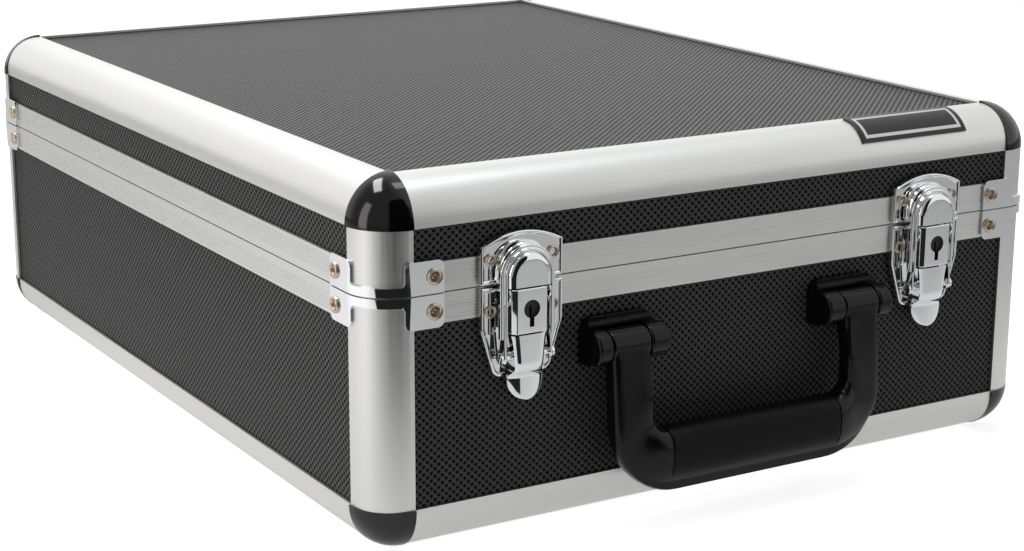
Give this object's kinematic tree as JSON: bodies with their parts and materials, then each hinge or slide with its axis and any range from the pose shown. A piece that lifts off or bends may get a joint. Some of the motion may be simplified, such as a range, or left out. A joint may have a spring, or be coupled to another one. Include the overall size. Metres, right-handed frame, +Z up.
{
  "type": "mixer flight case",
  "caption": "Hinged flight case with aluminium edges, black textured panels, ball corners, draw latches with keyholes, a swing handle and foam lining, lying on its base.",
  "frame": {"origin": "middle of the footprint at floor level, under the rubber feet", "axes": "+X to the right seen from the handle side, +Y from the handle side to the hinge side, +Z up"},
  "size_m": [0.3648, 0.5024, 0.164],
  "materials": {
    "aluminium": "satin anodised extrusion",
    "laminate": "black textured laminate over plywood, raised diagonal lattice",
    "corner_plastic": "moulded black, soft gloss",
    "chrome": "bright plated pressed steel",
    "rivet": "warm plated hollow rivet",
    "steel": "zinc plated",
    "rubber": "matt",
    "foam": "open cell foam",
    "handle_plastic": "moulded black, fine grain",
    "badge": "blank black plate with a thin silver line"
  },
  "bodies": {
    "base": {"base_back_panel": "laminate", "base_bottom_panel": "laminate", "base_clamp_rivets": "rivet", "base_closure_frame": "aluminium", "base_corner_balls": "corner_plastic", "base_corner_clamps": "chrome", "base_corner_posts": "aluminium", "base_edge_back": "aluminium", "base_edge_front": "aluminium", "base_edge_left": "aluminium", "base_edge_right": "aluminium", "base_feet": "rubber", "base_floor_foam": "foam", "base_front_panel": "laminate", "base_left_panel": "laminate", "base_right_panel": "laminate", "base_wall_foam": "foam", "foot_screws": "steel", "handle_mount_screws": "steel", "handle_mounts": "handle_plastic", "handle_pins": "steel", "hinge_base_leaves": "chrome", "hinge_base_rivets": "rivet", "hinge_pins": "steel", "latch_base_plates": "chrome", "latch_base_rivets": "rivet", "latch_lever_pins": "steel", "rear_feet": "rubber"},
    "lid": {"badge_plate": "badge", "hinge_lid_leaves": "chrome", "hinge_lid_rivets": "rivet", "latch_catch_plates": "chrome", "latch_catch_rivets": "rivet", "lid_back_panel": "laminate", "lid_clamp_rivets": "rivet", "lid_closure_frame": "aluminium", "lid_corner_balls": "corner_plastic", "lid_corner_clamps": "chrome", "lid_corner_posts": "aluminium", "lid_edge_back": "aluminium", "lid_edge_front": "aluminium", "lid_edge_left": "aluminium", "lid_edge_right": "aluminium", "lid_foam": "foam", "lid_front_panel": "laminate", "lid_left_panel": "laminate", "lid_right_panel": "laminate", "lid_top_panel": "laminate", "lid_wall_foam": "foam"},
    "handle": {"handle_bow": "handle_plastic", "handle_grip": "rubber"},
    "left_lever": {"left_hasp_pin": "chrome", "left_latch_lever": "chrome"},
    "left_hasp": {"left_latch_hasp": "chrome"},
    "left_lock": {"left_lock_plug": "steel"},
    "right_lever": {"right_hasp_pin": "chrome", "right_latch_lever": "chrome"},
    "right_hasp": {"right_latch_hasp": "chrome"},
    "right_lock": {"right_lock_plug": "steel"}
  },
  "joints": [
    {"name": "lid_hinge", "type": "hinge", "parent": "base", "child": "lid", "pos_m": [0, 0.24415, 0.1153], "axis": [-1, 0, 0], "range_deg": [0, 100]},
    {"name": "handle_swing", "type": "hinge", "parent": "base", "child": "handle", "pos_m": [0, -0.23575, 0.0831], "axis": [-1, 0, 0], "range_deg": [-5, 110]},
    {"name": "left_latch_lever_swing", "type": "hinge", "parent": "base", "child": "left_lever", "pos_m": [-0.1102, -0.23375, 0.1122], "axis": [-1, 0, 0], "range_deg": [0, 140]},
    {"name": "left_hasp_pivot", "type": "hinge", "parent": "left_lever", "child": "left_hasp", "pos_m": [-0.1102, -0.23225, 0.0845], "axis": [-1, 0, 0], "range_deg": [-140, 0]},
    {"name": "left_lock_turn", "type": "hinge", "parent": "left_lever", "child": "left_lock", "pos_m": [-0.1102, -0.23585, 0.1056], "axis": [0, 1, 0], "range_deg": [0, 90]},
    {"name": "right_latch_lever_swing", "type": "hinge", "parent": "base", "child": "right_lever", "pos_m": [0.1102, -0.23375, 0.1122], "axis": [-1, 0, 0], "range_deg": [0, 140]},
    {"name": "right_hasp_pivot", "type": "hinge", "parent": "right_lever", "child": "right_hasp", "pos_m": [0.1102, -0.23225, 0.0845], "axis": [-1, 0, 0], "range_deg": [-140, 0]},
    {"name": "right_lock_turn", "type": "hinge", "parent": "right_lever", "child": "right_lock", "pos_m": [0.1102, -0.23585, 0.1056], "axis": [0, 1, 0], "range_deg": [0, 90]}
  ],
  "couplings": [
    {"joint": "left_hasp_pivot", "follows": "left_latch_lever_swing", "ratio": -1},
    {"joint": "right_hasp_pivot", "follows": "right_latch_lever_swing", "ratio": -1}
  ]
}
